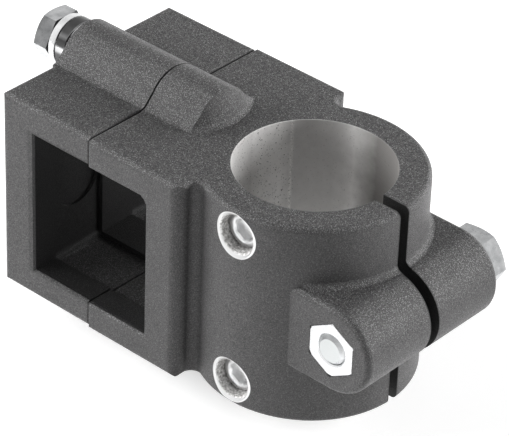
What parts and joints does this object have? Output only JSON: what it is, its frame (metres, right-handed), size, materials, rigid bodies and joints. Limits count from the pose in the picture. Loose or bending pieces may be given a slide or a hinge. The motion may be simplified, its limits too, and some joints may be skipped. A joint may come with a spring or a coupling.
{
  "type": "cross connector clamp",
  "caption": "Split clamp for a square tube, cast in one with a slotted ring that grips a round tube at right angles to it, closed by hexagon bolts and set screws.",
  "frame": {"origin": "centre of the round tube bore, at half its height", "axes": "+Z along the round bore; +X from the bore towards the slotted lug, so the square tube clamp lies at -X and its tube runs along Y; the lug's nut faces -Y"},
  "size_m": [0.1275, 0.0621, 0.0708],
  "materials": {
    "casting": "black powder coat with a fine texture on die-cast aluminium; the round bore and the mouths of the set-screw holes are machined bare",
    "plated_steel": "bright zinc plate",
    "washer_steel": "bright zinc plate, smooth",
    "bush_steel": "smooth turned steel, darker than the washers"
  },
  "bodies": {
    "body": {"main_body": "casting", "ring_nut": "plated_steel"},
    "clamp_half": {"clamp_half": "casting", "top_seat_washer": "washer_steel", "top_bush": "bush_steel", "top_spring_washer": "washer_steel", "bottom_seat_washer": "washer_steel", "bottom_bush": "bush_steel", "bottom_spring_washer": "washer_steel"},
    "top_bolt": {"top_bolt": "plated_steel"},
    "bottom_bolt": {"bottom_bolt": "plated_steel"},
    "ring_bolt_washer": {"ring_bolt_washer": "washer_steel"},
    "ring_bolt": {"ring_bolt": "plated_steel"},
    "upper_set_screw": {"upper_set_screw": "plated_steel"},
    "lower_set_screw": {"lower_set_screw": "plated_steel"}
  },
  "joints": [
    {"name": "clamp_slide", "type": "slide", "parent": "body", "child": "clamp_half", "axis": [-1, 0, 0], "range_m": [-0.0004, 0.003]},
    {"name": "top_bolt_turn", "type": "hinge", "parent": "clamp_half", "child": "top_bolt", "pos_m": [-0.0829, 0, 0.0275], "axis": [-1, 0, 0], "range_deg": [-115.3, 864.1]},
    {"name": "bottom_bolt_turn", "type": "hinge", "parent": "clamp_half", "child": "bottom_bolt", "pos_m": [-0.0829, 0, -0.0275], "axis": [-1, 0, 0], "range_deg": [-115.3, 864.1]},
    {"name": "ring_bolt_slide", "type": "slide", "parent": "body", "child": "ring_bolt_washer", "axis": [0, 1, 0], "range_m": [0, 0.003]},
    {"name": "ring_bolt_turn", "type": "hinge", "parent": "ring_bolt_washer", "child": "ring_bolt", "pos_m": [0.0275, 0.0256, 0], "axis": [0, 1, 0], "range_deg": [-0.1, 864.1]},
    {"name": "upper_screw_slide", "type": "slide", "parent": "body", "child": "upper_set_screw", "axis": [0, -1, 0], "range_m": [-0.0011, 0.003]},
    {"name": "lower_screw_slide", "type": "slide", "parent": "body", "child": "lower_set_screw", "axis": [0, -1, 0], "range_m": [-0.0011, 0.003]}
  ],
  "couplings": [
    {"joint": "top_bolt_turn", "follows": "clamp_slide", "rad_per_m": 5026.5},
    {"joint": "bottom_bolt_turn", "follows": "clamp_slide", "rad_per_m": 5026.5},
    {"joint": "ring_bolt_turn", "follows": "ring_bolt_slide", "rad_per_m": 5026.5}
  ]
}
